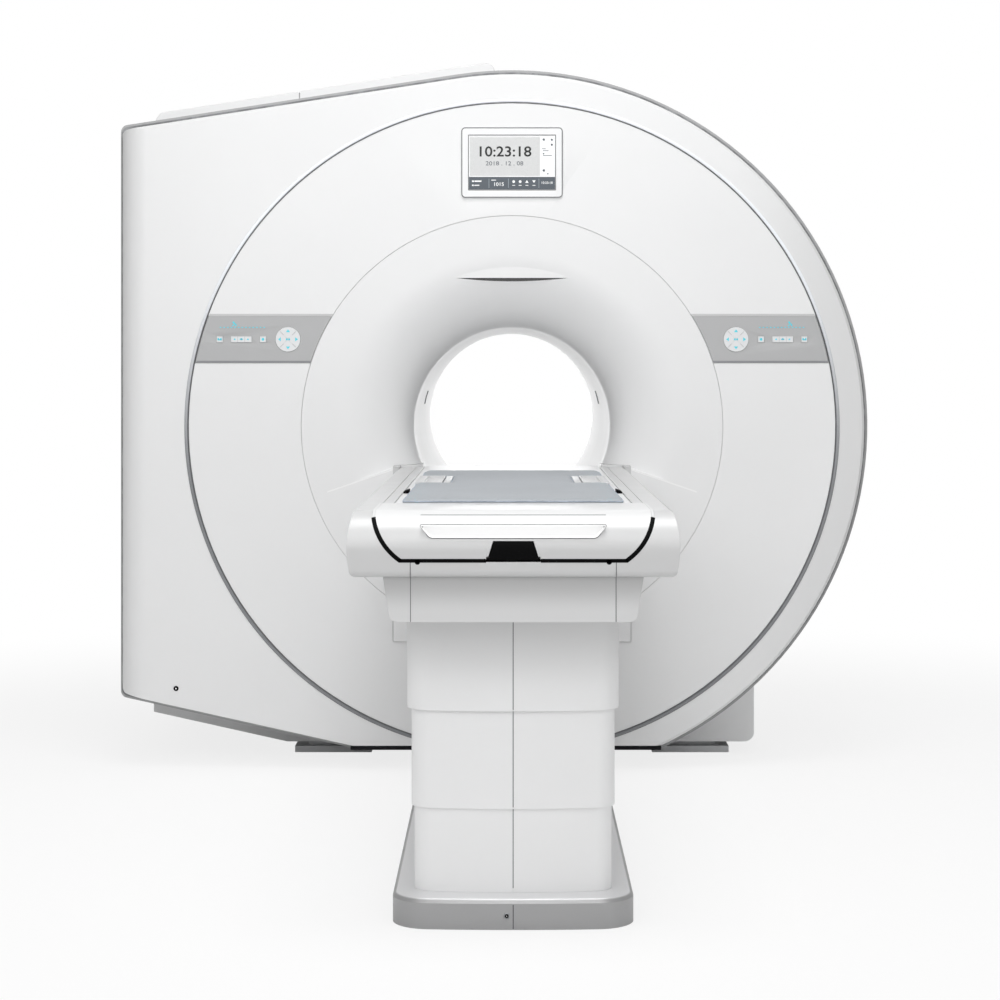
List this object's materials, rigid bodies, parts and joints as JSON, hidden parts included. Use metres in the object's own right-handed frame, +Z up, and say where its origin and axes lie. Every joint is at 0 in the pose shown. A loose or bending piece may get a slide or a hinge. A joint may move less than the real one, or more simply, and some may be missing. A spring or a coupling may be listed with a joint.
{
  "type": "mri scanner",
  "caption": "Whole-body MRI scanner: round gantry with a superconducting magnet, control panels and a display, and a patient table with a sliding cradle on a lifting column.",
  "frame": {"origin": "on the floor, straight below the isocentre, in the middle of the magnet's anchor bolts", "axes": "+Z up, +Y along the bore away from the table's foot end, +X to the right as seen from there"},
  "size_m": [2.2719, 3.75, 2.1601],
  "materials": {
    "cover_white": "satin white moulded cover",
    "shell_grey": "satin light grey cover",
    "housing_white": "satin white moulded cover",
    "table_grey": "satin pale grey paint",
    "dark_seal": "matt dark seal",
    "ring_silver": "brushed dark silver",
    "dark_lens": "glossy dark lens",
    "port_grey": "matt grey",
    "bridge_grey": "satin grey",
    "slide_plastic": "matt low-friction plastic",
    "panel_grey": "satin mid grey",
    "key_grey": "satin mid grey",
    "box_black": "matt black",
    "bezel_silver": "satin silver-white",
    "screen_glass": "glossy lit screen",
    "lock_black": "satin black",
    "cryostat": "off-white paint",
    "coil_resin": "cast resin",
    "steel": "plain steel",
    "base_silver": "metallic silver paint",
    "rail_alu": "anodised",
    "cradle_white": "satin white",
    "mattress_cloth": "grey-blue coated cloth",
    "socket_white": "satin white"
  },
  "bodies": {
    "gantry": {"front_cover": "cover_white", "annulus_cover": "cover_white", "funnel_cover": "cover_white", "rear_cover": "cover_white", "gantry_skirt": "cover_white", "roof_covers": "cover_white", "bore_liner": "cover_white", "docking_bay": "cover_white", "side_shell": "shell_grey", "column_lower": "table_grey", "cover_gasket": "dark_seal", "ring_trim": "ring_silver", "laser_window": "dark_lens", "bore_ports": "port_grey", "bore_bridge": "bridge_grey", "bridge_strips": "slide_plastic", "left_control_panel": "panel_grey", "right_control_panel": "panel_grey", "switch_boxes": "box_black", "display_bezel": "bezel_silver", "display_screen": "screen_glass", "cover_locks": "lock_black", "magnet_vessel": "cryostat", "service_turret": "cryostat", "gradient_coil": "coil_resin", "body_coil": "coil_resin", "magnet_feet": "steel", "base_plate": "steel", "mast_lower": "steel", "base_cover": "base_silver"},
    "middle_column": {"column_middle": "table_grey", "mast_middle": "steel"},
    "couch": {"column_upper": "table_grey", "couch_carrier": "table_grey", "mast_upper": "steel", "couch_housing": "housing_white", "foot_fascia": "cover_white", "latch_pin": "steel", "rail_covers": "shell_grey", "guide_rails": "rail_alu", "drive_rack": "steel", "slide_blocks": "slide_plastic"},
    "cradle": {"cradle_board": "cradle_white", "cradle_carriage": "rail_alu", "mattress": "mattress_cloth", "coil_sockets": "socket_white", "strap_clips": "lock_black"},
    "latch": {"release_latch": "lock_black"},
    "left_pad_key": {"left_pad_key": "key_grey"},
    "left_key_inner": {"left_key_inner": "key_grey"},
    "left_key_bar": {"left_key_bar": "key_grey"},
    "left_key_outer": {"left_key_outer": "key_grey"},
    "right_pad_key": {"right_pad_key": "key_grey"},
    "right_key_inner": {"right_key_inner": "key_grey"},
    "right_key_bar": {"right_key_bar": "key_grey"},
    "right_key_outer": {"right_key_outer": "key_grey"}
  },
  "joints": [
    {"name": "table_lift", "type": "slide", "parent": "gantry", "child": "couch", "axis": [0, 0, 1], "range_m": [-0.36, 0]},
    {"name": "column_extension", "type": "slide", "parent": "gantry", "child": "middle_column", "axis": [0, 0, 1], "range_m": [-0.18, 0]},
    {"name": "cradle_travel", "type": "slide", "parent": "couch", "child": "cradle", "axis": [0, 1, 0], "range_m": [0, 1.6]},
    {"name": "release_latch_hinge", "type": "hinge", "parent": "couch", "child": "latch", "pos_m": [0, -2.897, 0.837], "axis": [1, 0, 0], "range_deg": [0, 15], "stiffness_Nm_per_rad": 1, "springref_deg": -5.73},
    {"name": "left_pad_key_press", "type": "slide", "parent": "gantry", "child": "left_pad_key", "axis": [0, 1, 0], "range_m": [0, 0.0012], "stiffness_N_per_m": 800, "springref_m": -0.0003},
    {"name": "left_key_inner_press", "type": "slide", "parent": "gantry", "child": "left_key_inner", "axis": [0, 1, 0], "range_m": [0, 0.0012], "stiffness_N_per_m": 800, "springref_m": -0.0003},
    {"name": "left_key_bar_press", "type": "slide", "parent": "gantry", "child": "left_key_bar", "axis": [0, 1, 0], "range_m": [0, 0.0012], "stiffness_N_per_m": 800, "springref_m": -0.0003},
    {"name": "left_key_outer_press", "type": "slide", "parent": "gantry", "child": "left_key_outer", "axis": [0, 1, 0], "range_m": [0, 0.0012], "stiffness_N_per_m": 800, "springref_m": -0.0003},
    {"name": "right_pad_key_press", "type": "slide", "parent": "gantry", "child": "right_pad_key", "axis": [0, 1, 0], "range_m": [0, 0.0012], "stiffness_N_per_m": 800, "springref_m": -0.0003},
    {"name": "right_key_inner_press", "type": "slide", "parent": "gantry", "child": "right_key_inner", "axis": [0, 1, 0], "range_m": [0, 0.0012], "stiffness_N_per_m": 800, "springref_m": -0.0003},
    {"name": "right_key_bar_press", "type": "slide", "parent": "gantry", "child": "right_key_bar", "axis": [0, 1, 0], "range_m": [0, 0.0012], "stiffness_N_per_m": 800, "springref_m": -0.0003},
    {"name": "right_key_outer_press", "type": "slide", "parent": "gantry", "child": "right_key_outer", "axis": [0, 1, 0], "range_m": [0, 0.0012], "stiffness_N_per_m": 800, "springref_m": -0.0003}
  ],
  "couplings": [
    {"joint": "column_extension", "follows": "table_lift", "ratio": 0.5}
  ]
}
